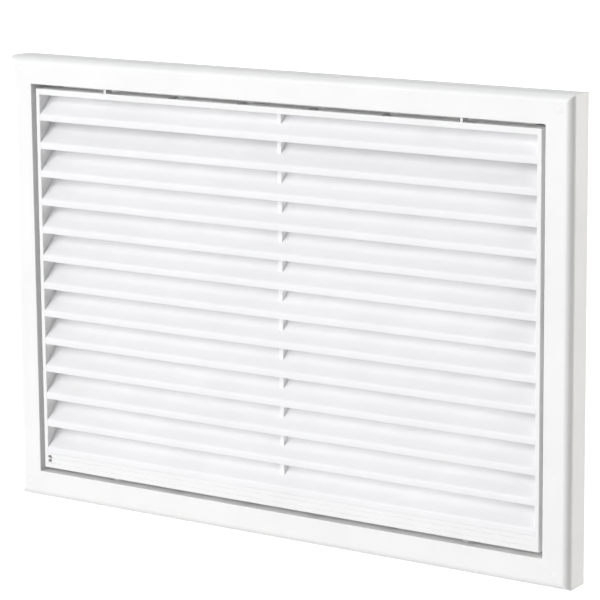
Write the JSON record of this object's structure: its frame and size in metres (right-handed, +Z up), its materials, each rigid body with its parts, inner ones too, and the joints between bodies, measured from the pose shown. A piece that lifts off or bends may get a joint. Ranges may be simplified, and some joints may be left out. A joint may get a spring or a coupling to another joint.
{
  "type": "louvred air grille",
  "caption": "White plastic wall grille: a screwed-on mounting frame with a snap-in louvred panel of fixed sloping blades and an insect screen behind them.",
  "frame": {"origin": "centre of the duct opening on the wall plane, which is the back plane of the mounting frame", "axes": "+X to the right seen from the room, +Y into the wall, +Z up"},
  "size_m": [0.35, 0.044, 0.25],
  "materials": {
    "frame_plastic": "satin moulded white plastic",
    "panel_plastic": "satin moulded white plastic",
    "blade_plastic": "satin moulded white plastic",
    "latch_plastic": "satin moulded white plastic",
    "screen_frame_plastic": "plain moulded white plastic",
    "screen_mesh": "fine woven light grey insect mesh",
    "nylon_plug": "grey nylon",
    "zinc_screw": "bright zinc plate"
  },
  "bodies": {
    "wall_frame": {"mounting_frame": "frame_plastic", "fixing_screw_top_left": "zinc_screw", "fixing_screw_top_right": "zinc_screw", "fixing_screw_bottom_left": "zinc_screw", "fixing_screw_bottom_right": "zinc_screw", "wall_plug_top_left": "nylon_plug", "wall_plug_top_right": "nylon_plug", "wall_plug_bottom_left": "nylon_plug", "wall_plug_bottom_right": "nylon_plug"},
    "louvre_panel": {"panel_surround": "panel_plastic", "louvre_blade_01": "blade_plastic", "louvre_blade_02": "blade_plastic", "louvre_blade_03": "blade_plastic", "louvre_blade_04": "blade_plastic", "louvre_blade_05": "blade_plastic", "louvre_blade_06": "blade_plastic", "louvre_blade_07": "blade_plastic", "louvre_blade_08": "blade_plastic", "louvre_blade_09": "blade_plastic", "louvre_blade_10": "blade_plastic", "louvre_blade_11": "blade_plastic", "louvre_blade_12": "blade_plastic", "louvre_blade_13": "blade_plastic", "centre_mullion": "blade_plastic", "insect_screen": "screen_mesh", "screen_frame": "screen_frame_plastic"},
    "latch_top_left": {"snap_latch_top_left": "latch_plastic"},
    "latch_top_right": {"snap_latch_top_right": "latch_plastic"},
    "latch_bottom_left": {"snap_latch_bottom_left": "latch_plastic"},
    "latch_bottom_right": {"snap_latch_bottom_right": "latch_plastic"}
  },
  "joints": [
    {"name": "panel_pull_out", "type": "slide", "parent": "wall_frame", "child": "louvre_panel", "axis": [0, -1, 0], "range_m": [0, 0.016]},
    {"name": "latch_flex_top_left", "type": "hinge", "parent": "louvre_panel", "child": "latch_top_left", "pos_m": [-0.088, -0.0117, 0.10575], "axis": [0, -1, 0], "range_deg": [0, 10]},
    {"name": "latch_flex_top_right", "type": "hinge", "parent": "louvre_panel", "child": "latch_top_right", "pos_m": [0.088, -0.0117, 0.10575], "axis": [0, 1, 0], "range_deg": [0, 10]},
    {"name": "latch_flex_bottom_left", "type": "hinge", "parent": "louvre_panel", "child": "latch_bottom_left", "pos_m": [-0.088, -0.0077, -0.10575], "axis": [0, 1, 0], "range_deg": [0, 10]},
    {"name": "latch_flex_bottom_right", "type": "hinge", "parent": "louvre_panel", "child": "latch_bottom_right", "pos_m": [0.088, -0.0077, -0.10575], "axis": [0, -1, 0], "range_deg": [0, 10]}
  ],
  "couplings": [
    {"joint": "latch_flex_top_left", "follows": "panel_pull_out", "rad_per_m": 10.9},
    {"joint": "latch_flex_top_right", "follows": "panel_pull_out", "rad_per_m": 10.9},
    {"joint": "latch_flex_bottom_left", "follows": "panel_pull_out", "rad_per_m": 10.9},
    {"joint": "latch_flex_bottom_right", "follows": "panel_pull_out", "rad_per_m": 10.9}
  ]
}
